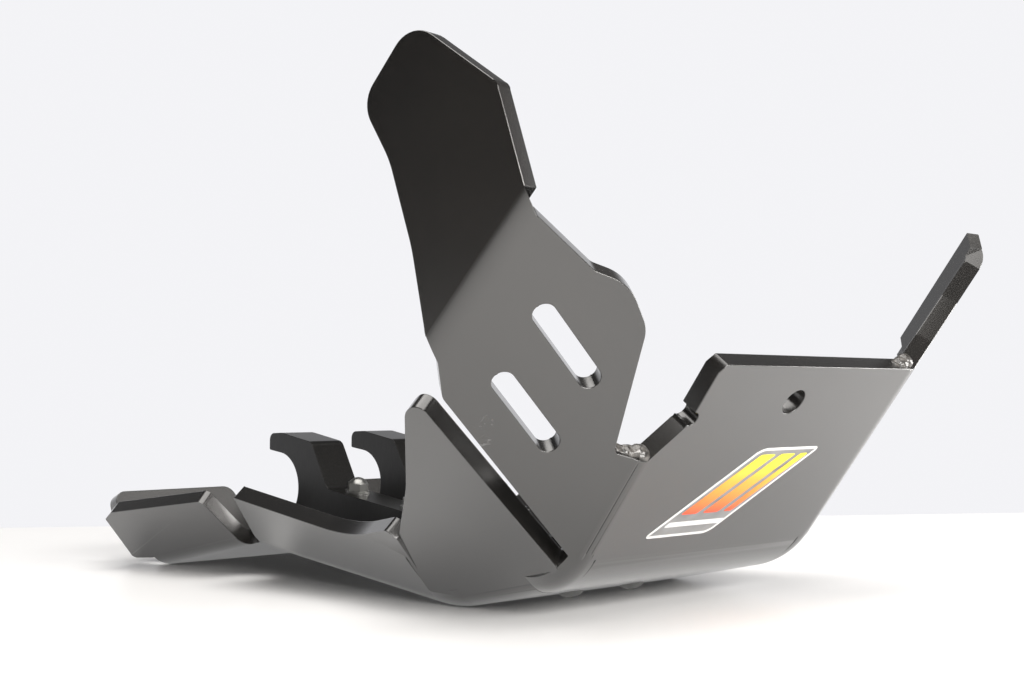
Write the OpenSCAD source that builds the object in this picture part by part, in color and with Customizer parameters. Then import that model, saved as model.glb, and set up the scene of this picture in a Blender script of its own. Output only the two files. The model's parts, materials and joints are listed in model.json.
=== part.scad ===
// Motorcycle skid plate: one thick plastic sheet folded into a cradle, with two hook clamps.
// Millimetres. X runs across the motorcycle, Y from its front to its rear, Z up.
// The part stands on the floor on its belly fold and on its tail fold, with the origin under its middle.

/* [Sheet] */
// Thickness of the plastic sheet
sheet_t = 8; // [6:0.5:10]
// Half width of the front and of the belly, from the middle to the side fold
half_width = 75; // [65:1:90]
// Inside radius of the side folds
side_fold_r = 6; // [4:1:10]
// Rounding of small outline corners
corner_r = 3; // [2:0.5:5]

/* [Front plate] */
// Slope of the front plate above the floor
front_slope = 52.3; // [45:0.5:60]
// Length of the front plate down its slope, before its lower fold
front_len = 97; // [85:1:115]
// Inside radius of the fold under the front plate
front_fold_r = 32; // [20:1:40]
// Distance of the free edge beside the right wing from the middle
free_edge_x = 60; // [55:0.5:64]
// Height of the part of the front plate that is free of the right wing
free_edge_len = 46; // [36:1:54]
// Distance of the notch in the free edge from the top
notch_y = 26; // [15:1:30]
// Radius of the notch
notch_r = 3; // [2:0.5:4]
// Radius of the upper fixing hole
front_hole_r = 6; // [4:0.25:8]
// Distance of the upper fixing hole from the top
front_hole_y = 18; // [14:1:30]

/* [Belly] */
// Length of the front part of the belly, between its folds
throat_len = 47; // [44:1:60]
// Turn of the fold between the front plate and the front part of the belly
front_turn = 40.7; // [36:0.5:44]
// Length of the belly between its folds
belly_len = 134; // [130:1:160]
// Turn of the fold that the belly stands on
belly_turn = 19.6; // [16:0.5:23]
// Inside radius of the fold that the belly stands on
belly_fold_r = 52; // [40:1:70]
// Widening of the belly on each side towards the rear, in degrees
belly_flare = 3.5; // [2:0.25:5]

/* [Tail] */
// Length of the tail between its folds
tail_len = 77; // [72:1:95]
// Turn of the fold between the belly and the tail
tail_turn = 19.6; // [17:0.5:22]
// Radius of the fold between the belly and the tail, on its lower side
tail_fold_r = 20; // [12:1:30]
// Widening of the tail on each side towards the rear, in degrees
tail_flare = 5.5; // [3:0.25:7]
// Turn of the fold at the rear end
rear_turn = 80; // [70:1:85]
// Inside radius of the fold at the rear end
rear_fold_r = 10; // [8:1:14]
// Height of the rear lip past its fold
lip_h = 27.5; // [22:0.5:34]
// Half width of the dip in the rear lip, at its top
dip_half = 31; // [24:1:45]
// Height of the rear lip in its dip
dip_h = 10; // [6:1:14]

/* [Side wings] */
// Fold angle of the tall wings
wing_turn = 26; // [22:0.5:30]
// Fold angle of the upper blade of the right wing
blade_turn = 52; // [45:1:60]
// Inside radius of the fold of the upper blade
blade_fold_r = 3; // [2:1:8]
// Reach of the tall wings from their fold to the top of the fold line of the blade
wing_reach = 85.5; // [80:0.5:92]
// Length of the upper blade past its fold line
blade_len = 81.5; // [76:0.5:90]
// Length of the short end of the left wing past its fold line
stub_len = 12; // [10:0.5:18]
// Width of the two slots in the right wing
slot_w = 9; // [7:0.5:11]
// Length of the two slots in the right wing
slot_len = 42; // [35:1:46]
// Distance between the two slots, middle to middle
slot_step = 30.6; // [26:0.2:33]
// Fold angle of the front flaps
flap_turn = 48; // [44:0.5:52]
// Reach of the front flaps from their fold
flap_reach = 96; // [80:1:100]
// Fold angle of the belly wings
belly_wing_turn = 46; // [42:0.5:50]
// Reach of the belly wings from their fold
belly_wing_reach = 33; // [26:1:38]
// Fold angle of the tail wings
tail_wing_turn = 45; // [40:0.5:52]
// Reach of the tail wings from their fold, at the rear
tail_wing_reach = 34; // [28:1:38]

/* [Hook clamps] */
// Width of a hook clamp across the motorcycle
hook_w = 20.7; // [16:0.1:26]
// Distance of the middle of each hook clamp from the middle of the part
hook_x = 28.3; // [22:0.1:36]
// Radius of the frame tube that the hooks hold
hook_bore_r = 18.5; // [16:0.25:19]
// Height of the hook foot above the sheet
foot_h = 17.5; // [15:0.5:19]
// Length of the hook foot in front of the end of the belly
foot_len = 72; // [66:1:90]
// Distance of the tube axis behind the end of the belly
hook_reach = 47.5; // [46:0.5:52]
// Height of the tube axis above the outer face of the belly
hook_rise = 19.5; // [18.5:0.5:21]
// Thickness of the hook over the tube
hook_top_t = 10; // [8:0.5:13]
// Distance from the end of the belly to the rear screw
rear_screw_in = 10; // [9:0.5:16]
// Distance between the two screws of a hook clamp
screw_gap = 46; // [36:1:48]

/* [Front block] */
// Half width of the front mounting block
block_half = 32; // [30:1:45]
// Length of the front mounting block along the sheet
block_len = 17; // [14:1:18]
// Distance of each front screw from the middle
front_screw_x = 20.5; // [16:0.5:24]
// Distance of the front screws from the fold that the belly stands on
front_screw_in = 9; // [8.5:0.5:14]

/* [Screws and nuts] */
// Radius of the screw shanks
screw_r = 3; // [2.5:0.25:4]
// Clearance round a shank in a plastic hole
hole_gap = 0.3; // [0.15:0.05:0.6]
// Clearance round a shank in a nut or washer
nut_gap = 0.1; // [0.05:0.05:0.2]
// Radius of a screw head
head_r = 6; // [5:0.25:7]
// Height of a screw head
head_h = 2.4; // [1.8:0.1:3]
// Half the width of a nut across its flats
nut_flat = 5; // [4.5:0.1:6]
// Height of the hexagon of a nut
nut_h = 4; // [3:0.25:6]
// Height of the dome of a nut
dome_h = 3; // [2:0.25:4]
// Radius of a washer
washer_r = 6.5; // [6:0.25:8]
// Thickness of a washer
washer_t = 1.2; // [0.8:0.1:2]

/* [Hidden] */
$fn = 96;
// Steps along a rounded corner of an outline, and along a fold
arc_steps = 10;
fold_steps = 14;
// Folds reach this far into the flats beside them
lap = 3;
// Folds lie this much inside the faces of the flats that they join
skin = 0.01;
// Every fold stops this much short of the ends of the flats that it joins
relief = 0.3;
// Slope of each flat of the sheet before the part is set on the floor
slopes = [-front_slope, front_turn - front_slope, front_turn + belly_turn - front_slope,
          front_turn + belly_turn - tail_turn - front_slope,
          front_turn + belly_turn - tail_turn + rear_turn - front_slope];
// Outer radius of the folds that the part stands on
belly_fold_out = belly_fold_r + sheet_t;
rear_fold_out = rear_fold_r + sheet_t;

// Place, as [y, z], after going a length along a slope
function along(p, slope, len) = p + len * [cos(slope), sin(slope)];
// Place, as [y, z], after going a height square to a slope
function above(p, slope, h) = p + h * [-sin(slope), cos(slope)];
// Centre of a fold that rises, and the start of the flat after it
function rise_centre(p, slope, r) = above(p, slope, r + sheet_t);
function after_rise(p, slope, turn, r) =
    above(rise_centre(p, slope, r), slope + turn, -(r + sheet_t));
// Start of the flat after a fold that drops
function after_drop(p, slope, turn, r) = above(above(p, slope, -r), slope - turn, r);

// Starts of the five flats in the side view, for a part tipped by an angle
function start_0(tip) = [0, 0];
function end_0(tip) = along(start_0(tip), slopes[0] + tip, front_len);
function start_1(tip) = after_rise(end_0(tip), slopes[0] + tip, front_turn, front_fold_r);
function end_1(tip) = along(start_1(tip), slopes[1] + tip, throat_len);
function start_2(tip) = after_rise(end_1(tip), slopes[1] + tip, belly_turn, belly_fold_r);
function end_2(tip) = along(start_2(tip), slopes[2] + tip, belly_len);
function start_3(tip) = after_drop(end_2(tip), slopes[2] + tip, tail_turn, tail_fold_r);
function end_3(tip) = along(start_3(tip), slopes[3] + tip, tail_len);
function start_4(tip) = after_rise(end_3(tip), slopes[3] + tip, rear_turn, rear_fold_r);
function belly_centre(tip) = rise_centre(end_1(tip), slopes[1] + tip, belly_fold_r);
function rear_centre(tip) = rise_centre(end_3(tip), slopes[3] + tip, rear_fold_r);

// Tip that sets both standing folds on the floor, and the lift to the floor
stand = rear_centre(0) - belly_centre(0);
tip = asin((rear_fold_out - belly_fold_out) / norm(stand)) - atan2(stand[1], stand[0]);
lift = belly_fold_out - belly_centre(tip)[1];
// Middle of the part from front to rear, which lies over the origin
middle_y = along(start_4(tip), slopes[4] + tip, lip_h)[0] / 2;
// The blade reaches further out than the left flap, so the middle of the part lies to the right of the belly's
middle_x = -4.17;

// Length from a fold line to the edge of its curve
function reach(turn, r) = (r + sheet_t) * tan(turn / 2);
wing_edge = half_width - reach(wing_turn, side_fold_r);
flap_edge = half_width - reach(flap_turn, side_fold_r);
belly_edge = half_width - reach(belly_wing_turn, side_fold_r) / cos(belly_flare);
belly_end_edge = belly_edge + belly_len * tan(belly_flare);
tail_half = half_width + belly_len * tan(belly_flare);
tail_edge = tail_half - reach(tail_wing_turn, side_fold_r) / cos(tail_flare);
tail_end_edge = tail_edge + tail_len * tan(tail_flare);

// Fold line of the blade, seen on the tall wing
blade_line_top = [wing_reach, -35.1];
blade_line_angle = 7.7;
blade_line_len = 66.4;
// The blade starts and ends this much further up than the wing below it
blade_skew = 6.3;
blade_foot = blade_line_len - blade_skew;
blade_line_foot = blade_line_top + blade_line_len * [sin(blade_line_angle), cos(blade_line_angle)];
blade_edge = reach(blade_turn, blade_fold_r);
shift_in = -blade_edge * [cos(blade_line_angle), -sin(blade_line_angle)];
near_top = blade_line_top + shift_in;
near_foot = blade_line_foot + shift_in;

// Slots in the right wing
slot_angle = 34;
slot_mid = [47.4, 9.3];
slot_shift = slot_step * [0.075, 1];

foot_top = sheet_t + foot_h;
// Length from the end of the belly to where its face and the tail's would meet, inside the cradle
tail_reach = reach(tail_turn, tail_fold_r);
screw_rear_y = belly_len - rear_screw_in;
screw_front_y = screw_rear_y - screw_gap;
block_mid_y = throat_len - front_screw_in;

// Outlines with rounded corners
function unit(v) = v / norm(v);
function swing(a) = a > 180 ? a - 360 : a < -180 ? a + 360 : a;
function corner(before, at, after, r) =
    let (u = unit(before - at),
         v = unit(after - at),
         half = acos(u * v) / 2,
         centre = at + unit(u + v) * r / sin(half),
         from = at + u * r / tan(half) - centre,
         to = at + v * r / tan(half) - centre,
         start = atan2(from[1], from[0]),
         sweep = swing(atan2(to[1], to[0]) - start))
    [for (i = [0 : arc_steps]) centre + r * [cos(start + sweep * i / arc_steps),
                                              sin(start + sweep * i / arc_steps)]];
// Each entry is [x, y, radius], and a radius of 0 keeps the corner sharp
function rounded(path) =
    let (n = len(path))
    [for (i = [0 : n - 1])
        let (at = [path[i][0], path[i][1]],
             before = [path[(i + n - 1) % n][0], path[(i + n - 1) % n][1]],
             after = [path[(i + 1) % n][0], path[(i + 1) % n][1]])
        each (path[i][2] == 0 ? [at] : corner(before, at, after, path[i][2]))];

// Frames of the flats: x across, y towards the tail, z from the outer to the inner face
module on_flat(start, slope) {
    translate([-middle_x, start[0] - middle_y, start[1] + lift]) rotate([slope + tip, 0, 0]) children();
}
module on_front() {
    on_flat(start_0(tip), slopes[0]) children();
}
module on_throat() {
    on_flat(start_1(tip), slopes[1]) children();
}
module on_belly() {
    on_flat(start_2(tip), slopes[2]) children();
}
module on_tail() {
    on_flat(start_3(tip), slopes[3]) children();
}
module on_lip() {
    on_flat(start_4(tip), slopes[4]) children();
}

// One flat of the sheet, from its outline
module flat(path) {
    linear_extrude(sheet_t) polygon(path);
}

// Side view of a fold with its laps: x along the flat, y towards the inner face
function fold_point(r, from_centre, angle) =
    [from_centre * sin(angle), r + sheet_t - from_centre * cos(angle)];
function fold_side(r, from_centre, turn) =
    [for (i = [0 : fold_steps]) fold_point(r, from_centre, turn * i / fold_steps)];
function turned_back(points) = [for (i = [len(points) - 1 : -1 : 0]) points[i]];
function fold_section(r, turn) =
    let (out = r + sheet_t - skin,
         in = r + skin,
         leg = lap * [cos(turn), sin(turn)])
    concat([[-lap, skin]], fold_side(r, out, turn), [fold_point(r, out, turn) + leg],
           [fold_point(r, in, turn) + leg], turned_back(fold_side(r, in, turn)),
           [[-lap, sheet_t - skin]]);

// Fold across the part that turns the sheet up, at the end of a flat
module rising_fold(r, turn, half) {
    translate([-half, 0, 0])
        rotate([90, 0, 90])
            linear_extrude(2 * half) polygon(fold_section(r, turn));
}

// Fold across the part that turns the sheet down
module dropping_fold(r, turn, half) {
    translate([0, 0, sheet_t]) mirror([0, 0, 1]) rising_fold(r, turn, half);
}

// Fold along the edge of a flat that turns the sheet up, over a length from 0
module edge_fold(r, turn, len) {
    translate([0, len - relief, 0])
        rotate([90, 0, 0])
            linear_extrude(len - 2 * relief) polygon(fold_section(r, turn));
}

// Frame past such a fold
module past_fold(r, turn) {
    translate([0, 0, r + sheet_t])
        rotate([0, -turn, 0])
            translate([0, 0, -r - sheet_t])
                children();
}

// Frame at the edge of a flat that widens by a flare, edge curve starting at x = 0
module at_edge(half, flare, turn) {
    translate([half, 0, 0])
        rotate([0, 0, -flare])
            translate([-reach(turn, side_fold_r), 0, 0])
                children();
}

module front_plate() {
    flat(rounded([[-free_edge_x + 3, 0, 0], [wing_edge, 0, 0], [wing_edge, front_len, 0],
                  [-wing_edge, front_len, 0], [-wing_edge, free_edge_len, 0],
                  [-free_edge_x - 1, free_edge_len - 16, corner_r], [-free_edge_x, notch_y - 2, 0],
                  [-free_edge_x, 4, 0]]));
}

module wing_outline_right() {
    polygon(rounded([[0, free_edge_len, 0], [9.3, free_edge_len, 2], [22.4, -7, 15],
                     [37, -21.5, 20], [51.5, -22, 8],
                     [near_top[0], near_top[1], 0], [near_foot[0], near_foot[1], 0],
                     [near_foot[0] - 7, near_foot[1] + 12.4, 6],
                     [lap + 1, front_len - relief / 2, 0], [0, front_len - relief / 2, 0]]));
}

module wing_outline_left() {
    polygon(rounded([[0, 0, 0], [24, -6.5, 12], [52, -21.5, 12],
                     [near_top[0], near_top[1], 0], [near_foot[0], near_foot[1], 0],
                     [near_foot[0] - 7, near_foot[1] + 12.4, 6],
                     [lap + 1, front_len - relief / 2, 0], [0, front_len - relief / 2, 0]]));
}

module slot_outline() {
    end_r = slot_w / 2 - 0.01;
    polygon(rounded([[-slot_len / 2, -slot_w / 2, end_r], [slot_len / 2, -slot_w / 2, end_r],
                     [slot_len / 2, slot_w / 2, end_r], [-slot_len / 2, slot_w / 2, end_r]]));
}

// Frame of the blade fold: x away from the wing, y down its fold line
module at_blade_line() {
    translate([blade_line_top[0], blade_line_top[1], 0])
        rotate([0, 0, -blade_line_angle])
            translate([-blade_edge, 0, 0])
                children();
}

// Fold of the blade, whose ends slant from the wing up to the blade
module blade_fold() {
    across = (blade_fold_r + sheet_t) * sin(blade_turn);
    intersection() {
        translate([0, -blade_skew - 1, 0]) edge_fold(blade_fold_r, blade_turn, blade_line_len + blade_skew + 2);
        translate([0, 0, -1]) linear_extrude(4 * sheet_t)
            polygon([[-lap - 1, lap], [0, relief], [across, relief - blade_skew], [across + lap, relief - blade_skew],
                     [across + lap, blade_foot - 2 * lap], [across, blade_foot - relief],
                     [0, blade_line_len - relief], [-lap - 1, blade_line_len - relief]]);
    }
}

module blade_right() {
    at_blade_line() {
        blade_fold();
        past_fold(blade_fold_r, blade_turn)
            translate([-blade_edge, 0, 0])
                flat(rounded([[blade_edge, -blade_skew, 0], [36.8, -27.2, 5],
                              [blade_len, -23.8, 12], [blade_len, 12.3, 12],
                              [58, 21, 40], [30, 39.5, 80], [blade_edge, blade_foot, 0]]));
    }
}

module blade_left() {
    at_blade_line() {
        blade_fold();
        past_fold(blade_fold_r, blade_turn)
            translate([-blade_edge, 0, 0])
                flat([[blade_edge, -blade_skew], [stub_len, -blade_skew - 4],
                      [stub_len, blade_foot - 5], [blade_edge, blade_foot]]);
    }
}

// Tall wing on the right, which the motorcycle's right side faces
module right_wing() {
    mirror([1, 0, 0]) at_edge(half_width, 0, wing_turn) {
        translate([0, free_edge_len, 0])
            edge_fold(side_fold_r, wing_turn, front_len - free_edge_len);
        past_fold(side_fold_r, wing_turn) {
            linear_extrude(sheet_t) difference() {
                wing_outline_right();
                for (i = [0, 1])
                    translate(slot_mid + i * slot_shift)
                        rotate(-slot_angle) slot_outline();
            }
            blade_right();
        }
    }
}

module left_wing() {
    at_edge(half_width, 0, wing_turn) {
        edge_fold(side_fold_r, wing_turn, front_len);
        past_fold(side_fold_r, wing_turn) {
            linear_extrude(sheet_t) wing_outline_left();
            blade_left();
        }
    }
}

module front_flap() {
    at_edge(half_width, 0, flap_turn) {
        edge_fold(side_fold_r, flap_turn, throat_len);
        past_fold(side_fold_r, flap_turn)
            flat(rounded([[0, relief / 2, 0], [4, -17.5, corner_r], [flap_reach + 0.5, -18.6, 5],
                          [flap_reach - 2, -8, 10], [61, 24, 80], [38, 52, 14], [26, 58.5, 10],
                          [6, 62.5, corner_r], [0, throat_len, 0]]));
    }
}

module belly_wing() {
    at_edge(half_width, belly_flare, belly_wing_turn) {
        edge_fold(side_fold_r, belly_wing_turn, belly_len - 6);
        past_fold(side_fold_r, belly_wing_turn)
            flat(rounded([[0, 0, 0], [4, -3, 2], [belly_wing_reach + 5, -3, 2], [belly_wing_reach + 10, 1, 3],
                          [belly_wing_reach - 4.5, 36, 80], [belly_wing_reach, belly_len - 15, 1],
                          [lap, belly_len - 6, 0], [0, belly_len - 6, 0]]));
    }
}

module tail_wing() {
    at_edge(tail_half, tail_flare, tail_wing_turn) {
        translate([0, 4, 0]) edge_fold(side_fold_r, tail_wing_turn, tail_len - 4 - side_fold_r / 5);
        past_fold(side_fold_r, tail_wing_turn)
            flat(rounded([[0, 4, 0], [tail_wing_reach - 7, 4, 4], [tail_wing_reach + 1.6, tail_len - 3, 2],
                          [tail_wing_reach - 1.5, tail_len + 6, 2], [3, tail_len + 14.5, corner_r],
                          [0, tail_len, 0]]));
    }
}

module rear_lip() {
    flat(rounded([[-tail_end_edge + 2, 0, 0], [-tail_end_edge - 20, 12, 4], [-tail_end_edge - 20, lip_h, 6],
                  [-dip_half, lip_h, 8], [-dip_half + 8, dip_h, 8], [dip_half - 8, dip_h, 8],
                  [dip_half, lip_h, 8], [tail_end_edge + 20, lip_h, 6], [tail_end_edge + 20, 12, 4],
                  [tail_end_edge - 2, 0, 0]]));
}

// Holes for the screws, in the frame of a flat
module screw_hole(x, y) {
    translate([x, y, -1]) cylinder(h = foot_top + 2, r = screw_r + hole_gap);
}
module clamp_holes() {
    for (side = [-1, 1])
        for (y = [screw_rear_y, screw_front_y])
            screw_hole(side * hook_x, y);
}
module front_holes() {
    for (side = [-1, 1])
        screw_hole(side * front_screw_x, block_mid_y);
}

module folded_sheet() {
    color("#2a2a2a") {
        on_front() {
            difference() {
                front_plate();
                translate([0, front_hole_y, -1]) cylinder(h = sheet_t + 2, r = front_hole_r);
                translate([-free_edge_x + 0.5, notch_y, -1]) cylinder(h = sheet_t + 2, r = notch_r);
            }
            translate([0, front_len, 0]) rising_fold(front_fold_r, front_turn, half_width + 1);
            right_wing();
            left_wing();
        }
        on_throat() {
            difference() {
                flat([[-flap_edge, 0], [flap_edge, 0], [flap_edge, throat_len], [-flap_edge, throat_len]]);
                front_holes();
            }
            translate([0, throat_len, 0]) rising_fold(belly_fold_r, belly_turn, flap_edge - relief);
            for (side = [0, 1])
                mirror([side, 0, 0]) front_flap();
        }
        on_belly() {
            difference() {
                flat([[-belly_edge, 0], [belly_edge, 0], [belly_end_edge, belly_len], [-belly_end_edge, belly_len]]);
                clamp_holes();
            }
            translate([0, belly_len, 0]) dropping_fold(tail_fold_r, tail_turn, belly_end_edge - relief);
            for (side = [0, 1])
                mirror([side, 0, 0]) belly_wing();
        }
        on_tail() {
            flat([[-tail_edge, 0], [tail_edge, 0], [tail_end_edge, tail_len], [-tail_end_edge, tail_len]]);
            translate([0, tail_len, 0]) rising_fold(rear_fold_r, rear_turn, tail_end_edge - 2 - relief);
            for (side = [0, 1])
                mirror([side, 0, 0]) tail_wing();
        }
        on_lip() rear_lip();
    }
}

// Side view of a hook clamp in the frame of the belly: x to the rear, y up
module hook_outline() {
    tube = [belly_len + hook_reach, hook_rise];
    roof = hook_rise + hook_bore_r;
    difference() {
        polygon(rounded([[belly_len - foot_len, sheet_t, 0], [belly_len - foot_len, foot_top, 2],
                         [belly_len + 3, foot_top, 6], [tube[0] - 27, roof + hook_top_t, 6],
                         [tube[0] + 1, roof + hook_top_t + 1, 20], [tube[0] + 12.5, roof + hook_top_t - 1, 4],
                         [tube[0] + 11.5, roof, 1], [tube[0], roof, 0], [tube[0], hook_rise, 0],
                         [tube[0] - 7, hook_rise, 0],
                         [tube[0] - 7, sheet_t - (hook_reach - 7 - tail_reach) * tan(tail_turn) + 1.5, 2],
                         [belly_len + tail_reach, sheet_t, 0]]));
        translate(tube) circle(hook_bore_r);
    }
}

module hook_clamp(side) {
    color("#1e1e1e") on_belly() difference() {
        translate([side * hook_x - hook_w / 2, 0, 0])
            rotate([90, 0, 90])
                linear_extrude(hook_w) hook_outline();
        clamp_holes();
    }
}

module front_block() {
    color("#1e1e1e") on_throat() difference() {
        translate([-block_half, block_mid_y - block_len / 2, sheet_t])
            cube([2 * block_half, block_len, foot_h]);
        front_holes();
    }
}

// Hexagon about its middle, from half its width across the flats
module hexagon(flat_r) {
    polygon([for (i = [0 : 5]) flat_r / cos(30) * [cos(60 * i), sin(60 * i)]]);
}

// Screw with its low round head under the sheet
module screw() {
    sphere_r = (head_r * head_r + head_h * head_h) / (2 * head_h);
    color("#c9c9c6") difference() {
        union() {
            cylinder(h = foot_top + washer_t + nut_h, r = screw_r);
            intersection() {
                translate([0, 0, sphere_r - head_h]) sphere(sphere_r);
                translate([0, 0, -head_h]) cylinder(h = head_h, r = head_r);
            }
        }
        translate([0, 0, -head_h]) linear_extrude(head_h * 0.75) hexagon(screw_r * 0.66);
    }
}

module washer() {
    color("#c9c9c6") translate([0, 0, foot_top]) difference() {
        cylinder(h = washer_t, r = washer_r);
        translate([0, 0, -1]) cylinder(h = washer_t + 2, r = screw_r + nut_gap);
    }
}

// Domed nut on its washer
module nut() {
    dome_r = (nut_flat * nut_flat + dome_h * dome_h) / (2 * dome_h);
    color("#c9c9c6") translate([0, 0, foot_top + washer_t]) difference() {
        union() {
            linear_extrude(nut_h) hexagon(nut_flat);
            translate([0, 0, nut_h]) intersection() {
                translate([0, 0, dome_h - dome_r]) sphere(dome_r);
                cylinder(h = dome_h, r = nut_flat);
            }
        }
        translate([0, 0, -1]) cylinder(h = nut_h + 1 + nut_gap, r = screw_r + nut_gap);
    }
}

module on_clamp_screw(side, y) {
    on_belly() translate([side * hook_x, y, 0]) children();
}
module on_front_screw(side) {
    on_throat() translate([side * front_screw_x, block_mid_y, 0]) children();
}

folded_sheet();
hook_clamp(-1);  // hook_clamp_right
hook_clamp(1);  // hook_clamp_left
front_block();
on_clamp_screw(-1, screw_rear_y) screw();  // clamp_screw_right_rear
on_clamp_screw(-1, screw_front_y) screw();  // clamp_screw_right_front
on_clamp_screw(1, screw_rear_y) screw();  // clamp_screw_left_rear
on_clamp_screw(1, screw_front_y) screw();  // clamp_screw_left_front
on_clamp_screw(-1, screw_rear_y) washer();  // clamp_washer_right_rear
on_clamp_screw(-1, screw_front_y) washer();  // clamp_washer_right_front
on_clamp_screw(1, screw_rear_y) washer();  // clamp_washer_left_rear
on_clamp_screw(1, screw_front_y) washer();  // clamp_washer_left_front
on_clamp_screw(-1, screw_rear_y) nut();  // clamp_nut_right_rear
on_clamp_screw(-1, screw_front_y) nut();  // clamp_nut_right_front
on_clamp_screw(1, screw_rear_y) nut();  // clamp_nut_left_rear
on_clamp_screw(1, screw_front_y) nut();  // clamp_nut_left_front
on_front_screw(-1) screw();  // front_screw_right
on_front_screw(1) screw();  // front_screw_left
on_front_screw(-1) washer();  // front_washer_right
on_front_screw(1) washer();  // front_washer_left
on_front_screw(-1) nut();  // front_nut_right
on_front_screw(1) nut();  // front_nut_left
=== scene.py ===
import json
import math

import bpy
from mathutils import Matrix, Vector
from mathutils.bvhtree import BVHTree


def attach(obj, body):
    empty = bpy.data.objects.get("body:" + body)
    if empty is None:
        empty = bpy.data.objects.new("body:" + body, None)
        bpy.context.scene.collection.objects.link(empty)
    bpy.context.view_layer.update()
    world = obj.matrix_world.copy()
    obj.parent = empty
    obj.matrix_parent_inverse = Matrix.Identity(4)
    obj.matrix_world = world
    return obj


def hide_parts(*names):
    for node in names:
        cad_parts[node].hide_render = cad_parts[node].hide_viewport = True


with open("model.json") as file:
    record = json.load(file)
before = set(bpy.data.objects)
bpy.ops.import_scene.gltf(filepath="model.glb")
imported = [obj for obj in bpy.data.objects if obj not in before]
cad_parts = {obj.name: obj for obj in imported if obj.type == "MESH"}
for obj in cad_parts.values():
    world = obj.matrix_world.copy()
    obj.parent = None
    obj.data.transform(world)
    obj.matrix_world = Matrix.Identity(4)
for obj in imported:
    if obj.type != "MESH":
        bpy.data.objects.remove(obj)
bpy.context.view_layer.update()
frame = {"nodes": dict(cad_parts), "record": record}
nodes = frame["nodes"]
print("frame loaded:", len(nodes), "nodes")

smoothAngle = math.radians(38)        # faces that meet at less are shaded as one
flatAngle = math.radians(0.4)         # faces that meet at less are made one


def clearSelection():
    if bpy.context.mode != 'OBJECT':
        bpy.ops.object.mode_set(mode='OBJECT')
    bpy.ops.object.select_all(action='DESELECT')


def activate(piece):
    clearSelection()
    piece.select_set(True)
    bpy.context.view_layer.objects.active = piece


def openMesh(piece):
    activate(piece)
    bpy.ops.object.mode_set(mode='EDIT')
    bpy.ops.mesh.select_all(action='SELECT')


def closeMesh():
    bpy.ops.object.mode_set(mode='OBJECT')


def turnOutwards(piece):
    openMesh(piece)
    bpy.ops.mesh.normals_make_consistent(inside=False)
    closeMesh()


def applyModifiers(piece):
    activate(piece)
    for mod in list(piece.modifiers):
        bpy.ops.object.modifier_apply(modifier=mod.name)


def joinPieces(pieces, name):
    clearSelection()
    for piece in pieces:
        piece.select_set(True)
    bpy.context.view_layer.objects.active = pieces[0]
    bpy.ops.object.join()
    whole = bpy.context.object
    whole.name = name
    activate(whole)
    bpy.ops.object.transform_apply(location=True, rotation=True, scale=True)
    return whole


def copyOfNode(nodeName, pieceName):
    # the node itself is left alone, the copy is merged and gets its bevels
    piece = bpy.data.objects.new(pieceName, nodes[nodeName].data.copy())
    bpy.context.scene.collection.objects.link(piece)
    openMesh(piece)
    bpy.ops.mesh.remove_doubles(threshold=0.000002)
    closeMesh()
    piece.data.materials.clear()
    return piece


def dissolveFlats(piece, keep):
    openMesh(piece)
    bpy.ops.mesh.dissolve_limited(angle_limit=flatAngle, delimit={keep})
    closeMesh()


def addBevel(piece, width, limit):
    bevel = piece.modifiers.new("roundEdges", 'BEVEL')
    bevel.limit_method = limit
    bevel.width = width
    bevel.segments = 2
    return bevel


def smoothButFlat(piece):
    # rounded edges are smooth, while the flats beside them stay flat
    applyModifiers(piece)
    activate(piece)
    bpy.ops.object.shade_smooth_by_angle(angle=smoothAngle)
    weighted = piece.modifiers.new("flatNormals", 'WEIGHTED_NORMAL')
    weighted.keep_sharp = True
    applyModifiers(piece)


def wear(piece, *materials):
    piece.data.materials.clear()
    for mat in materials:
        piece.data.materials.append(mat)


def grey(value, warm=0.0):
    return (value * (1 + warm), value, value * (1 - warm))


def newMaterial(name, colour, roughness, metallic=0.0):
    mat = bpy.data.materials.new(name)
    mat.use_nodes = True
    shader = mat.node_tree.nodes["Principled BSDF"]
    shader.inputs["Base Color"].default_value = (*colour, 1)
    shader.inputs["Roughness"].default_value = roughness
    shader.inputs["Metallic"].default_value = metallic
    return mat, mat.node_tree, shader


def noiseNode(tree, scale, detail=3.0, stretch=(1, 1, 1), turn=(0, 0, 0)):
    coords = tree.nodes.new("ShaderNodeTexCoord")
    mapping = tree.nodes.new("ShaderNodeMapping")
    mapping.inputs["Scale"].default_value = stretch
    mapping.inputs["Rotation"].default_value = turn
    noise = tree.nodes.new("ShaderNodeTexNoise")
    noise.inputs["Scale"].default_value = scale
    noise.inputs["Detail"].default_value = detail
    tree.links.new(coords.outputs["Object"], mapping.inputs["Vector"])
    tree.links.new(mapping.outputs["Vector"], noise.inputs["Vector"])
    return noise.outputs["Fac"]


def rampNode(tree, source, *stops):
    ramp = tree.nodes.new("ShaderNodeValToRGB")
    tree.links.new(source, ramp.inputs["Fac"])
    while len(ramp.color_ramp.elements) < len(stops):
        ramp.color_ramp.elements.new(0.5)
    for element, (place, colour) in zip(ramp.color_ramp.elements, stops):
        element.position = place
        element.color = (*colour, 1)
    return ramp.outputs["Color"]


def addBump(tree, shader, source, strength, distance, under=None):
    bump = tree.nodes.new("ShaderNodeBump")
    bump.inputs["Strength"].default_value = strength
    bump.inputs["Distance"].default_value = distance
    tree.links.new(source, bump.inputs["Height"])
    if under:
        tree.links.new(under.outputs["Normal"], bump.inputs["Normal"])
    tree.links.new(bump.outputs["Normal"], shader.inputs["Normal"])
    return bump


def vectorNode(tree, operation, source, other):
    step = tree.nodes.new("ShaderNodeVectorMath")
    step.operation = operation
    step.inputs[1].default_value = other
    tree.links.new(source, step.inputs[0])
    return step.outputs["Value"]


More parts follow.
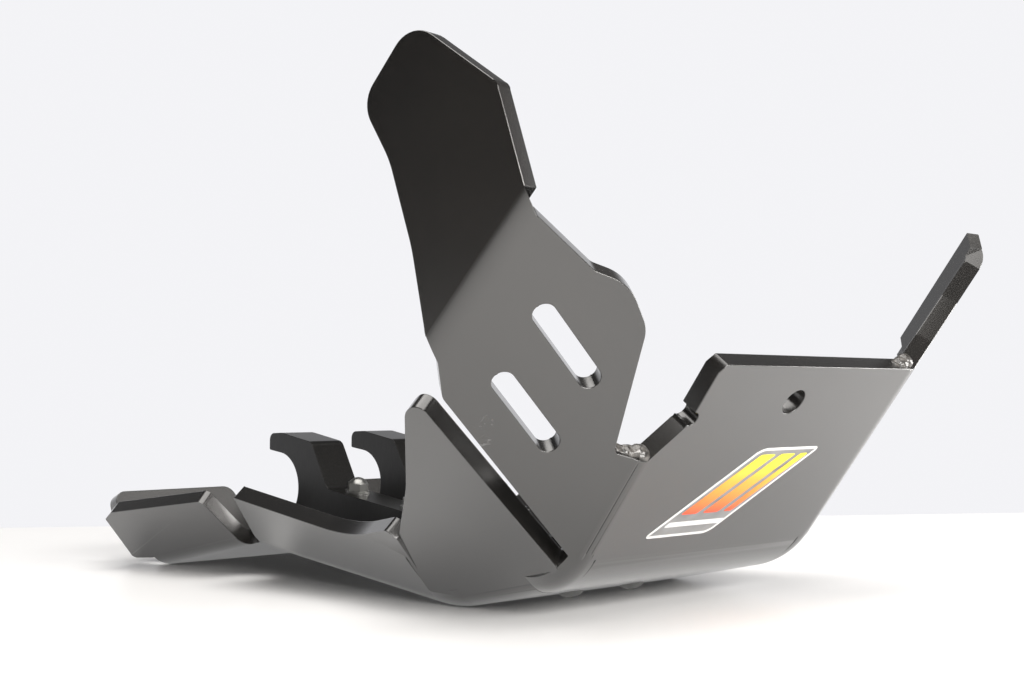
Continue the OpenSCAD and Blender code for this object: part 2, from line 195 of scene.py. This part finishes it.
def spreadNode(tree, source, start, end, low=0.0, high=1.0, ease='LINEAR'):
    spread = tree.nodes.new("ShaderNodeMapRange")
    spread.interpolation_type = ease
    spread.inputs["From Min"].default_value = start
    spread.inputs["From Max"].default_value = end
    spread.inputs["To Min"].default_value = low
    spread.inputs["To Max"].default_value = high
    tree.links.new(source, spread.inputs["Value"])
    return spread.outputs["Result"]


def alongNode(tree, direction, start, end):
    # 0 at one distance along a direction of the part and 1 at the other
    coords = tree.nodes.new("ShaderNodeTexCoord")
    distance = vectorNode(tree, 'DOT_PRODUCT', coords.outputs["Object"], direction)
    return spreadNode(tree, distance, start, end)


def mathNode(tree, operation, first, second=None, value=None):
    step = tree.nodes.new("ShaderNodeMath")
    step.operation = operation
    tree.links.new(first, step.inputs[0])
    if second is not None:
        tree.links.new(second, step.inputs[1])
    if value is not None:
        step.inputs[1].default_value = value
    return step.outputs[0]


scuff = {
    # middles of the rubbed spots on the right wing and how far they reach
    "spots": [((-0.1299, -0.1449, 0.0828), 0.0036), ((-0.1266, -0.1413, 0.0753), 0.0040)],
    "fullShare": 0.4,                 # of the reach, within which all strokes show
    "scale": 520.0,
    "detail": 2.0,
    "stretch": (1, 1, 4),
    "turn": (0.6, 0.3, 0.2),
    "stops": (0.60, 0.66),
    "colour": grey(0.11),
}


def scuffed(tree, colour):
    # short pale strokes within each spot
    coords = tree.nodes.new("ShaderNodeTexCoord")
    nearest = None
    for place, reach in scuff["spots"]:
        away = vectorNode(tree, 'DISTANCE', coords.outputs["Object"], place)
        near = spreadNode(tree, away, reach * scuff["fullShare"], reach, 1.0, 0.0)
        nearest = near if nearest is None else mathNode(tree, 'MAXIMUM', nearest, near)
    strokes = noiseNode(tree, scuff["scale"], scuff["detail"], scuff["stretch"], scuff["turn"])
    bare, marked = scuff["stops"]
    marks = rampNode(tree, strokes, (bare, grey(0)), (marked, grey(1)))
    share = mathNode(tree, 'MULTIPLY', nearest, marks)
    mix = tree.nodes.new("ShaderNodeMix")
    mix.data_type = 'RGBA'
    tree.links.new(share, mix.inputs[0])
    tree.links.new(colour, mix.inputs[6])
    mix.inputs[7].default_value = (*scuff["colour"], 1)
    return mix.outputs[2]


sheetFinish = {
    "dark": grey(0.007, 0.08),        # fresh black plastic
    "hazed": grey(0.014, 0.10),       # haze of fine rubbing
    "hazeScale": 9.0,
    "hazeDetail": 5.0,
    "hazeStops": (0.38, 0.72),
    "roughness": 0.38,
    "roughLow": 0.21,
    "roughHigh": 0.27,
    "roughStops": (0.30, 0.75),
    "gloss": 1.58,                    # index of the skin and of the plastic under it
    "skinRoughness": 0.23,
    "waveScale": 14.0,
    "waveDetail": 1.0,
    "waveBump": (0.10, 0.001),        # strength and height
    "scratchScale": 38.0,
    "scratchDetail": 2.0,
    "scratchStretch": (1, 26, 26),
    "scratchTurn": (0.3, 0.2, 0.9),
    "scratchStops": (0.60, 0.66),
    "scratchBump": (0.05, 0.0001),
}


def sheetFaceMaterial():
    s = sheetFinish
    mat, tree, shader = newMaterial("sheetFace", s["dark"], s["roughness"])
    shader.inputs["IOR"].default_value = s["gloss"]
    shader.inputs["Coat Weight"].default_value = 1.0
    shader.inputs["Coat Roughness"].default_value = s["skinRoughness"]
    shader.inputs["Coat IOR"].default_value = s["gloss"]
    haze = noiseNode(tree, s["hazeScale"], s["hazeDetail"])
    fresh, rubbed = s["hazeStops"]
    colour = rampNode(tree, haze, (fresh, s["dark"]), (rubbed, s["hazed"]))
    tree.links.new(scuffed(tree, colour), shader.inputs["Base Color"])
    fresh, rubbed = s["roughStops"]
    rough = rampNode(tree, haze, (fresh, grey(s["roughHigh"])), (rubbed, grey(s["roughLow"])))
    tree.links.new(rough, shader.inputs["Roughness"])
    scratches = noiseNode(tree, s["scratchScale"], s["scratchDetail"],
                          s["scratchStretch"], s["scratchTurn"])
    bare, marked = s["scratchStops"]
    thin = rampNode(tree, scratches, (bare, grey(0)), (marked, grey(1)))
    waves = noiseNode(tree, s["waveScale"], s["waveDetail"])
    soft = addBump(tree, shader, waves, *s["waveBump"])
    addBump(tree, shader, thin, *s["scratchBump"], soft)
    return mat


edgeFinish = {
    "dark": grey(0.007, 0.12),
    "light": grey(0.020, 0.14),
    "stops": (0.35, 0.70),
    "roughness": 0.44,
    "gloss": 1.38,
    "scale": 260.0,
    "detail": 3.0,
    "stretch": (1, 1, 1),
    "bump": (0.35, 0.0003),
}
clampFinish = {
    "dark": grey(0.003, 0.05),
    "light": grey(0.009, 0.06),
    "stops": (0.40, 0.70),
    "roughness": 0.30,
    "gloss": 1.42,
    "scale": 120.0,
    "detail": 2.0,
    "stretch": (14, 14, 1),           # marks of the mill run up the clamp
    "bump": (0.08, 0.0002),
}
beadFinish = {
    "dark": grey(0.02, 0.06),
    "light": grey(0.10, 0.08),
    "stops": (0.35, 0.70),
    "roughness": 0.28,
    "gloss": 1.7,
    "scale": 500.0,
    "detail": 2.0,
    "stretch": (1, 1, 1),
    "bump": (0.30, 0.0003),
}


def plasticMaterial(name, s):
    # dark plastic with paler marks that also stand up a little
    mat, tree, shader = newMaterial(name, s["dark"], s["roughness"])
    shader.inputs["IOR"].default_value = s["gloss"]
    marks = noiseNode(tree, s["scale"], s["detail"], s["stretch"])
    darkAt, lightAt = s["stops"]
    colour = rampNode(tree, marks, (darkAt, s["dark"]), (lightAt, s["light"]))
    tree.links.new(colour, shader.inputs["Base Color"])
    addBump(tree, shader, marks, *s["bump"])
    return mat


zincFinish = {
    "colour": (0.28, 0.28, 0.27),
    "roughness": 0.34,
    "roughLow": 0.30,
    "roughHigh": 0.48,
    "stops": (0.35, 0.75),
    "scale": 300.0,
    "detail": 3.0,
    "bump": (0.08, 0.0001),
}


def zincMaterial():
    s = zincFinish
    mat, tree, shader = newMaterial("zincSteel", s["colour"], s["roughness"], 1.0)
    spots = noiseNode(tree, s["scale"], s["detail"])
    bright, dull = s["stops"]
    rough = rampNode(tree, spots, (bright, grey(s["roughLow"])), (dull, grey(s["roughHigh"])))
    tree.links.new(rough, shader.inputs["Roughness"])
    addBump(tree, shader, spots, *s["bump"])
    return mat


sheetFace = sheetFaceMaterial()
sheetEdge = plasticMaterial("sheetSawnEdge", edgeFinish)
clampPlastic = plasticMaterial("clampPlastic", clampFinish)
zincSteel = zincMaterial()
meltedBead = plasticMaterial("meltedBead", beadFinish)
print("materials made")

sheet = {
    "thickness": 0.008,
    "thickMost": 0.0092,              # a wall thicker than this is looked at along the sheet
    "thickLeast": 0.0070,
    "wallReach": 0.05,
    "parallel": 0.97,                 # least cosine between the two sides of a wall
    "edgeRound": 0.00040,
    "sliver": 0.00005,                # joints between flats and folds keep their edges
    "sharp": math.radians(60),
    "steep": math.radians(100),
    "stubFrom": 0.1,                  # across from the middle
    "stubHeight": 0.016,
}

hole = next(m for m in frame["record"]["mounts"] if m["name"] == "front_hole")
holeFromTop = 0.018
plateOut = Vector(hole["axis"]).normalized()
plateAcross = Vector((1, 0, 0))
plateDown = plateAcross.cross(plateOut).normalized()
if plateDown.z > 0:
    plateDown = -plateDown


def onPlate(across, down, out=0.0):
    # across from the middle and down from the top edge, on the outer face
    start = Vector(hole["pos_m"]) + plateOut * sheet["thickness"] / 2
    return start + plateAcross * across + plateDown * (down - holeFromTop) + plateOut * out


blend = {
    # folds of the sheet, in metres and degrees, as they are in the part
    "halfWidth": 0.075,
    "foldOut": 0.014,
    "foldIn": 0.006,
    "frontLength": 0.097,
    "throatLength": 0.047,
    "frontFold": (0.040, 40.7),       # outer radius and turn
    "bellyFold": (0.060, 19.6),
    "frontTurns": (26, 48),           # of the side folds, wing and then flap
    "bellyTurns": (48, 46),           # flap, then belly wing
    # the corner pieces
    "leg": 0.0042,                    # flat beyond the side fold
    "lap": 0.002,                     # flat before it
    "past": 5.0,                      # further round than the cross fold, at each end
    "steps": 18,
    "arcSteps": 10,
    # outer ends of the front fold
    "foldEnd": 0.076,
    "foldEndSlack": 0.0002,
    "outerSlack": 0.0006,
    "drawnIn": 0.0685,
    # no bevels from here outwards, between these radii and angles
    "plainFrom": 0.066,
    "plainRadii": (0.030, 0.0415),
    "plainBefore": 1,
    "plainAfter": 6,
}


def roundFrontFold(place):
    # across from the middle, distance from the axis of the front fold, and angle round it
    arm = place - (onPlate(0, blend["frontLength"]) - plateOut * blend["frontFold"][0])
    along, out = arm.dot(plateDown), arm.dot(plateOut)
    return arm.dot(plateAcross), math.hypot(along, out), math.degrees(math.atan2(along, out))


def easeFrontFold(piece):
    # the front fold runs past its side folds, so its outer ends are drawn in under the filled corners
    radius, turn = blend["frontFold"]
    past = blend["past"]
    for vertex in piece.data.vertices:
        across, away, angle = roundFrontFold(vertex.co)
        atEnd = abs(abs(across) - blend["foldEnd"]) < blend["foldEndSlack"]
        onOutside = abs(away - radius) < blend["outerSlack"]
        if atEnd and onOutside and -past < angle < turn + past:
            vertex.co.x += math.copysign(blend["drawnIn"], across) - across


def atFrontFoldEnd(vertex):
    across, away, angle = roundFrontFold(vertex.co)
    inner, outer = blend["plainRadii"]
    atFold = -blend["plainBefore"] < angle < blend["frontFold"][1] + blend["plainAfter"]
    return abs(across) > blend["plainFrom"] and inner < away < outer and atFold


def triangleHeight(face, mesh):
    longest = max((mesh.vertices[a].co - mesh.vertices[b].co).length for a, b in face.edge_keys)
    return 2 * face.area / longest if longest > 0 else 0


def markCutEdges(piece):
    # a face is broad where the wall behind it is one sheet thick, and else it is a cut edge
    tree = BVHTree.FromObject(piece, bpy.context.evaluated_depsgraph_get())
    for face in piece.data.polygons:
        inward = -face.normal
        start = face.center + inward * 0.00001      # just under the face
        _, normal, _, wall = tree.ray_cast(start, inward, sheet["wallReach"])
        broad = wall is not None and sheet["thickLeast"] < wall < sheet["thickMost"]
        broad = broad and normal.dot(inward) > sheet["parallel"]
        face.material_index = 0 if broad else 1


def chooseBevels(piece):
    # the short bent end of the left wing is too fine for a bevel
    mesh = piece.data
    leftSide = [v for v in mesh.vertices if v.co.x > sheet["stubFrom"]]
    stubFoot = max(v.co.z for v in leftSide) - sheet["stubHeight"]
    plain = {v.index for v in leftSide if v.co.z > stubFoot}
    plain |= {v.index for v in mesh.vertices if atFrontFoldEnd(v)}
    weights = mesh.attributes.new("bevel_weight_edge", 'FLOAT', 'EDGE')
    beside = {}
    for face in mesh.polygons:
        if triangleHeight(face, mesh) < sheet["sliver"]:
            plain.update(face.vertices)
        for key in face.edge_keys:
            beside.setdefault(key, []).append(face)
    for edge in mesh.edges:
        pair = beside.get(edge.key, [])
        if len(pair) != 2 or pair[0].normal.length == 0 or pair[1].normal.length == 0:
            continue
        if edge.vertices[0] in plain and edge.vertices[1] in plain:
            continue
        angle = pair[0].normal.angle(pair[1].normal, 0)
        faceMeetsCut = {f.material_index for f in pair} == {0, 1}
        if angle > sheet["sharp"] and (faceMeetsCut or angle < sheet["steep"]):
            weights.data[edge.index].value = 1.0


def makeSheet():
    piece = copyOfNode("folded_sheet", "foldedSheet")
    markCutEdges(piece)
    easeFrontFold(piece)
    wear(piece, sheetFace, sheetEdge)
    chooseBevels(piece)
    dissolveFlats(piece, 'MATERIAL')
    bevel = addBevel(piece, sheet["edgeRound"], 'WEIGHT')
    bevel.use_clamp_overlap = False
    smoothButFlat(piece)
    return piece


foldedSheet = makeSheet()
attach(foldedSheet, "root")
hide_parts("folded_sheet")
print("sheet made:", len(foldedSheet.data.polygons), "faces")

clamp = {
    "edgeRound": 0.0005,
    "sharp": math.radians(50),
    "pieces": {"hook_clamp_right": "hookClampRight", "hook_clamp_left": "hookClampLeft",
               "front_block": "frontBlock"},
}


def makeClamp(nodeName, pieceName):
    piece = copyOfNode(nodeName, pieceName)
    wear(piece, clampPlastic)
    dissolveFlats(piece, 'NORMAL')
    bevel = addBevel(piece, clamp["edgeRound"], 'ANGLE')
    bevel.angle_limit = clamp["sharp"]
    smoothButFlat(piece)
    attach(piece, "root")
    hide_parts(nodeName)


for nodeName, pieceName in clamp["pieces"].items():
    makeClamp(nodeName, pieceName)
for nodeName, node in nodes.items():
    if "screw" in nodeName or "washer" in nodeName or "nut" in nodeName:
        wear(node, zincSteel)
print("clamps and screws dressed")


def foldSection(turn):
    # outline of a side fold with a short leg, as distances from the middle and from the outer face
    outer, inner, lap, leg = blend["foldOut"], blend["foldIn"], blend["lap"], blend["leg"]
    end = math.radians(turn)
    edge = blend["halfWidth"] - outer * math.tan(end / 2)
    angles = [end * i / blend["arcSteps"] for i in range(blend["arcSteps"] + 1)]
    section = [(edge - lap, 0.0)]
    for a in angles:
        section.append((edge + outer * math.sin(a), outer * (1 - math.cos(a))))
    for radius in (outer, inner):
        section.append((edge + radius * math.sin(end) + leg * math.cos(end),
                        outer - radius * math.cos(end) + leg * math.sin(end)))
    for a in reversed(angles):
        section.append((edge + inner * math.sin(a), outer - inner * math.cos(a)))
    section.append((edge - lap, outer - inner))
    return section


def turned(along, out, angle):
    c, s = math.cos(angle), math.sin(angle)
    return along * c - out * s, out * c + along * s


def placeRing(piece, side, axis, outward, radius, section):
    # the end that was extruded last is the one that is selected
    ring = [v for v in piece.data.vertices if v.select]
    for vertex, (across, height) in zip(ring, section):
        vertex.co = axis + plateAcross * across * side + outward * (radius - height)


def makeBlend(pieceName, side, end, along, out, fold, turns):
    # the corner of the sheet is drawn round a cross fold, while the turn of its side fold changes
    radius, turn = fold
    axis = end - out * radius
    bpy.ops.mesh.primitive_circle_add(vertices=len(foldSection(turns[0])), radius=0.01,
                                      fill_type='NGON', calc_uvs=False)
    piece = bpy.context.object
    piece.name = piece.data.name = pieceName
    for i in range(blend["steps"] + 1):
        share = i / blend["steps"]
        angle = math.radians(-blend["past"] + (turn + 2 * blend["past"]) * share)
        if i > 0:
            bpy.ops.object.mode_set(mode='EDIT')
            bpy.ops.mesh.extrude_region_move()
            closeMesh()
        section = foldSection(turns[0] + (turns[1] - turns[0]) * share)
        placeRing(piece, side, axis, turned(along, out, angle)[1], radius, section)
    turnOutwards(piece)
    bpy.ops.object.shade_smooth_by_angle(angle=smoothAngle)
    wear(piece, sheetFace)
    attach(piece, "root")


def makeBlends():
    frontEnd = onPlate(0, blend["frontLength"])
    radius, turn = blend["frontFold"]
    along, out = turned(plateDown, plateOut, math.radians(turn))
    throatStart = frontEnd - plateOut * radius + out * radius
    throatEnd = throatStart + along * blend["throatLength"]
    for side, name in ((-1, "right"), (1, "left")):
        makeBlend(name + "FrontCorner", side, frontEnd, plateDown, plateOut,
                  blend["frontFold"], blend["frontTurns"])
        makeBlend(name + "BellyCorner", side, throatEnd, along, out,
                  blend["bellyFold"], blend["bellyTurns"])


makeBlends()
print("corners of the cross folds filled")

bead = {
    # each lump: across, down and out on the front plate, then its half sizes, in millimetres
    "right": [(-65.0, 46.4, -4.2, 3.0, 1.4, 3.4), (-68.5, 45.7, -4.2, 4.0, 2.3, 3.8),
              (-72.6, 45.4, -5.0, 4.2, 2.8, 3.9), (-77.2, 46.0, -6.4, 3.8, 1.9, 3.7),
              (-71.5, 46.0, -2.2, 4.4, 1.8, 2.1), (-81.0, 46.3, -8.4, 3.0, 1.0, 3.6)],
    "left": [(66.0, 0.6, -4.2, 3.2, 1.2, 3.3), (69.5, -0.3, -4.3, 3.8, 2.3, 3.6),
             (73.2, -0.8, -5.2, 3.8, 2.9, 3.8), (77.6, 0.2, -6.8, 3.6, 1.8, 3.6)],
    "voxel": 0.00035,
    "softening": 9,
    "rough": 0.0008,
    "grain": 0.0016,
}


def makeLump(across, down, out, wide, high, deep):
    bpy.ops.mesh.primitive_ico_sphere_add(subdivisions=3, radius=0.001)
    lump = bpy.context.object
    place = onPlate(across / 1000, down / 1000, out / 1000)
    for vertex in lump.data.vertices:
        v = vertex.co.copy()
        vertex.co = place + plateAcross * v.x * wide + plateDown * v.y * high + plateOut * v.z * deep
    return lump


def makeBead(side, pieceName):
    piece = joinPieces([makeLump(*lump) for lump in bead[side]], pieceName)
    turnOutwards(piece)
    melt = piece.modifiers.new("melt", 'REMESH')
    melt.mode = 'VOXEL'
    melt.voxel_size = bead["voxel"]
    soften = piece.modifiers.new("soften", 'SMOOTH')
    soften.iterations = bead["softening"]
    grain = bpy.data.textures.new(pieceName + "Grain", 'CLOUDS')
    grain.noise_scale = bead["grain"]
    swell = piece.modifiers.new("swell", 'DISPLACE')
    swell.texture = grain
    swell.strength = bead["rough"]
    swell.mid_level = 0.5
    applyModifiers(piece)
    bpy.ops.object.shade_smooth()
    wear(piece, meltedBead)
    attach(piece, "root")


makeBead("right", "rightBead")
makeBead("left", "leftBead")
print("melted beads made")

decal = {
    # corners across and down on the front plate, in millimetres
    "body": [(-47, 88), (-2, 42), (40, 42), (-5, 88)],
    "bars": [[(-31, 76), (0, 45.5), (10, 45.5), (-21, 76)],
             [(-17, 76), (14, 45.5), (24, 45.5), (-7, 76)],
             [(-3, 76), (28, 45.5), (33, 45.5), (2, 76)]],
    "lines": [[(-37.5, 82.5), (-35, 80), (0.8, 80), (-1.7, 82.5)]],
    # all the rest in metres
    "bodyRounding": 0.004,
    "barRounding": 0.0012,
    "lineRounding": 0.0008,
    "rim": 0.0014,
    "film": 0.00012,
    "gap": 0.00002,                   # between the film and what it lies on
    "rimColour": grey(0.62),
    "rimRoughness": 0.35,
    "field": grey(0.20),
    "fieldDark": grey(0.17),
    "fieldLight": grey(0.23),
    "fieldStops": (0.30, 0.70),
    "fieldRoughness": 0.32,
    "mottleScale": 120.0,
    "mottleDetail": 2.0,
    # the bars fade from yellow at the top to red at the foot
    "barColour": (0.9, 0.4, 0.1),
    "barRoughness": 0.35,
    "fadeTop": 0.045,
    "fadeFoot": 0.077,
    "fade": [(0.0, (0.95, 0.80, 0.03)), (0.45, (0.92, 0.36, 0.03)), (1.0, (0.75, 0.06, 0.03))],
}


def fieldMaterial():
    mat, tree, shader = newMaterial("decalField", decal["field"], decal["fieldRoughness"])
    mottle = noiseNode(tree, decal["mottleScale"], decal["mottleDetail"])
    darkAt, lightAt = decal["fieldStops"]
    shade = rampNode(tree, mottle, (darkAt, decal["fieldDark"]), (lightAt, decal["fieldLight"]))
    tree.links.new(shade, shader.inputs["Base Color"])
    return mat


def barMaterial():
    mat, tree, shader = newMaterial("decalBars", decal["barColour"], decal["barRoughness"])
    top = onPlate(0, decal["fadeTop"]).dot(plateDown)
    foot = onPlate(0, decal["fadeFoot"]).dot(plateDown)
    fade = rampNode(tree, alongNode(tree, plateDown, top, foot), *decal["fade"])
    tree.links.new(fade, shader.inputs["Base Color"])
    return mat


def decalShape(corners, rounding, out):
    bpy.ops.mesh.primitive_plane_add(size=0.01)
    shape = bpy.context.object
    order = [0, 1, 3, 2]      # a plane's corners run in rows
    for index, (across, down) in zip(order, corners):
        shape.data.vertices[index].co = onPlate(across / 1000, down / 1000, out)
    openMesh(shape)
    bpy.ops.mesh.bevel(offset=rounding, segments=6, affect='VERTICES')
    closeMesh()
    if shape.data.polygons[0].normal.dot(plateOut) < 0:
        openMesh(shape)
        bpy.ops.mesh.flip_normals()
        closeMesh()
    return shape


def giveFilm(shape):
    film = shape.modifiers.new("film", 'SOLIDIFY')
    film.thickness = decal["film"]
    film.offset = 1.0
    applyModifiers(shape)


def makeDecal():
    # materials in order: rim and lines, field, bars
    films = [newMaterial("decalRim", decal["rimColour"], decal["rimRoughness"])[0],
             fieldMaterial(), barMaterial()]
    body = decalShape(decal["body"], decal["bodyRounding"], decal["gap"])
    wear(body, *films)
    openMesh(body)
    bpy.ops.mesh.inset(thickness=decal["rim"])
    closeMesh()
    widest = max(body.data.polygons, key=lambda face: face.area)
    widest.material_index = 1
    giveFilm(body)
    parts = [body]
    onBody = 2 * decal["gap"] + decal["film"]
    for kind, rounding, film in (("bars", "barRounding", 2), ("lines", "lineRounding", 0)):
        for corners in decal[kind]:
            shape = decalShape(corners, decal[rounding], onBody)
            wear(shape, *films)
            for face in shape.data.polygons:
                face.material_index = film
            giveFilm(shape)
            parts.append(shape)
    piece = joinPieces(parts, "frontDecal")
    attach(piece, "root")


makeDecal()
print("decal made")

view = {
    "place": (-0.4866, -0.5348, 0.0929),
    "azimuth": 43.49,                 # the way it looks, from +Y towards +X
    "pitch": 2.12,
    "lens": 50.4,
    "sensor": 36.0,
    "clipStart": 0.01,
}


def addCamera():
    bpy.ops.object.camera_add(location=view["place"])
    camera = bpy.context.object
    camera.name = "photoCamera"
    camera.rotation_euler = (math.radians(90 + view["pitch"]), 0, -math.radians(view["azimuth"]))
    camera.data.lens = view["lens"]
    camera.data.sensor_width = view["sensor"]
    camera.data.clip_start = view["clipStart"]
    bpy.context.scene.camera = camera


studio = {
    "seen": (0.900, 0.900, 0.925),    # what the camera and shiny faces see of the backdrop
    "side": (0.50, 0.85, 0.05),       # the backdrop stands on this side
    "sideFrom": 0.05,                 # and grows from one cosine to the other
    "sideTo": 0.42,
    "near": 0.03,                     # light of the dark room behind the camera
    "far": 0.90,                      # light of the backdrop
    "fadeFrom": 0.22,                 # heights between which the backdrop ends
    "fadeTo": 0.52,
    "above": 0.10,                    # share of its light above that
    "floorSize": 8,
    "floorColour": (0.92, 0.92, 0.92),
    "floorDark": grey(0.91),
    "floorLight": grey(0.94),
    "floorStops": (0.30, 0.70),
    "floorScale": 3.0,
    "floorDetail": 2.0,
    "floorRoughness": 0.35,
    "floorShine": 0.4,
    "floorGlow": 1.0,
    "glowShare": 0.25,
    "floorEnd": (0.5594, 0.8289, 0.3325),       # line where the backdrop meets the floor
    "floorEndSoft": 0.006,
    "warmth": (1.0, 0.975, 0.945),    # colour of the lamps
}
lamps = {
    # place, aim, width and height, watts
    "topPanel": ((-0.20, -0.25, 1.45), (0, -0.05, 0), (1.6, 1.6), 29),
    "rightPanel": ((0.78, -0.95, 0.95), (0, 0.15, 0.03), (0.5, 0.4), 1.1),
    "frontPanel": ((-0.20, -1.45, 0.60), (-0.05, -0.15, 0), (1.6, 0.5), 38),
    "lowPanel": ((1.25, -0.75, 0.28), (0.05, -0.15, 0), (0.6, 0.3), 9),
}


def makeWorld():
    world = bpy.data.worlds.new("paleStudio")
    bpy.context.scene.world = world
    world.use_nodes = True
    tree = world.node_tree
    tree.nodes.clear()
    coords = tree.nodes.new("ShaderNodeTexCoord")
    side = Vector(studio["side"]).normalized()
    facing = vectorNode(tree, 'DOT_PRODUCT', coords.outputs["Generated"], side)
    backdrop = spreadNode(tree, facing, studio["sideFrom"], studio["sideTo"],
                          studio["near"], studio["far"], 'SMOOTHSTEP')
    split = tree.nodes.new("ShaderNodeSeparateXYZ")
    tree.links.new(coords.outputs["Generated"], split.inputs[0])
    height = spreadNode(tree, split.outputs["Z"], studio["fadeFrom"], studio["fadeTo"],
                        1.0, studio["above"], 'SMOOTHSTEP')
    around = mathNode(tree, 'MULTIPLY', backdrop, height)
    path = tree.nodes.new("ShaderNodeLightPath")
    strength = mathNode(tree, 'MAXIMUM', path.outputs["Is Camera Ray"], around)
    seen = tree.nodes.new("ShaderNodeBackground")
    seen.inputs["Color"].default_value = (*studio["seen"], 1)
    tree.links.new(strength, seen.inputs["Strength"])
    out = tree.nodes.new("ShaderNodeOutputWorld")
    tree.links.new(seen.outputs[0], out.inputs["Surface"])


def glowNode(tree, colour, strength):
    glow = tree.nodes.new("ShaderNodeEmission")
    glow.inputs["Color"].default_value = (*colour, 1)
    glow.inputs["Strength"].default_value = strength
    return glow.outputs[0]


def mixShaders(tree, share, first, second):
    mix = tree.nodes.new("ShaderNodeMixShader")
    tree.links.new(share, mix.inputs["Fac"])
    tree.links.new(first, mix.inputs[1])
    tree.links.new(second, mix.inputs[2])
    return mix.outputs[0]


def makeFloor():
    bpy.ops.mesh.primitive_plane_add(size=studio["floorSize"], location=(0, 0, 0))
    floor = bpy.context.object
    floor.name = "studioFloor"
    mat, tree, shader = newMaterial("whiteFloor", studio["floorColour"], studio["floorRoughness"])
    shader.inputs["Specular IOR Level"].default_value = studio["floorShine"]
    mottle = noiseNode(tree, studio["floorScale"], studio["floorDetail"])
    darkAt, lightAt = studio["floorStops"]
    colour = rampNode(tree, mottle, (darkAt, studio["floorDark"]), (lightAt, studio["floorLight"]))
    tree.links.new(colour, shader.inputs["Base Color"])
    # shiny faces see the floor as an even white, also close under the sheet
    path = tree.nodes.new("ShaderNodeLightPath")
    share = mathNode(tree, 'MULTIPLY', path.outputs["Is Glossy Ray"], value=studio["glowShare"])
    inShine = mixShaders(tree, share, shader.outputs[0], glowNode(tree, (1, 1, 1), studio["floorGlow"]))
    # past its end the floor looks like the backdrop
    endX, endY, endAt = studio["floorEnd"]
    soft = studio["floorEndSoft"]
    past = alongNode(tree, (endX, endY, 0), endAt - soft, endAt + soft)
    whole = mixShaders(tree, past, inShine, glowNode(tree, studio["seen"], 1.0))
    tree.links.new(whole, tree.nodes["Material Output"].inputs["Surface"])
    wear(floor, mat)


def softPanel(name, place, aim, size, power):
    bpy.ops.object.light_add(type='AREA', location=place)
    lamp = bpy.context.object
    lamp.name = name
    lamp.data.shape = 'RECTANGLE'
    lamp.data.size, lamp.data.size_y = size
    lamp.data.energy = power
    lamp.data.color = studio["warmth"]
    lamp.rotation_euler = (Vector(aim) - Vector(place)).to_track_quat('-Z', 'Y').to_euler()


addCamera()
makeWorld()
makeFloor()
for name, settings in lamps.items():
    softPanel(name, *settings)
bpy.context.scene.view_settings.view_transform = 'Standard'
print("camera, light and floor set")
